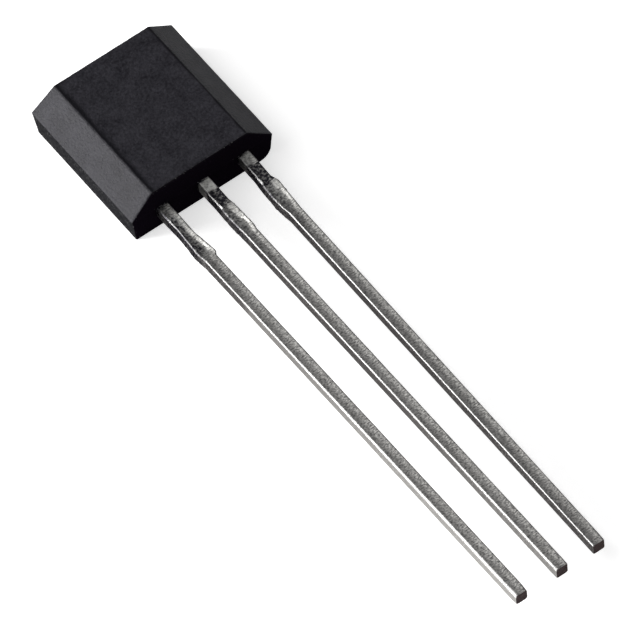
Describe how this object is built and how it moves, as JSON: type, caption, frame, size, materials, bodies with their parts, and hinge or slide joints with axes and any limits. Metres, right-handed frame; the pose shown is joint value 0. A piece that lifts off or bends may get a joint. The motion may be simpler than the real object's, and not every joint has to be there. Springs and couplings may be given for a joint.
{
  "type": "hall effect sensor",
  "caption": "Moulded Hall effect sensor with a bevelled flat sensing face and a row of long straight through-hole leads.",
  "frame": {"origin": "below the middle of the moulded body, on its back face, the plane that the sensor lies on", "axes": "+Z out of the sensing face, -Y along the leads to their tips, +X from the supply lead to the output lead"},
  "size_m": [0.0044, 0.0194, 0.0015],
  "materials": {
    "moulding": "matte",
    "tinned_lead": "satin",
    "silver_cement": "matte",
    "silicon": "gloss",
    "gold_wire": "polished"
  },
  "bodies": {
    "root": {"moulded_body": "moulding", "supply_lead": "tinned_lead", "ground_lead": "tinned_lead", "output_lead": "tinned_lead", "die_attach": "silver_cement", "sensor_chip": "silicon", "supply_bond_wire": "gold_wire", "ground_bond_wire": "gold_wire", "output_bond_wire": "gold_wire"}
  },
  "joints": []
}
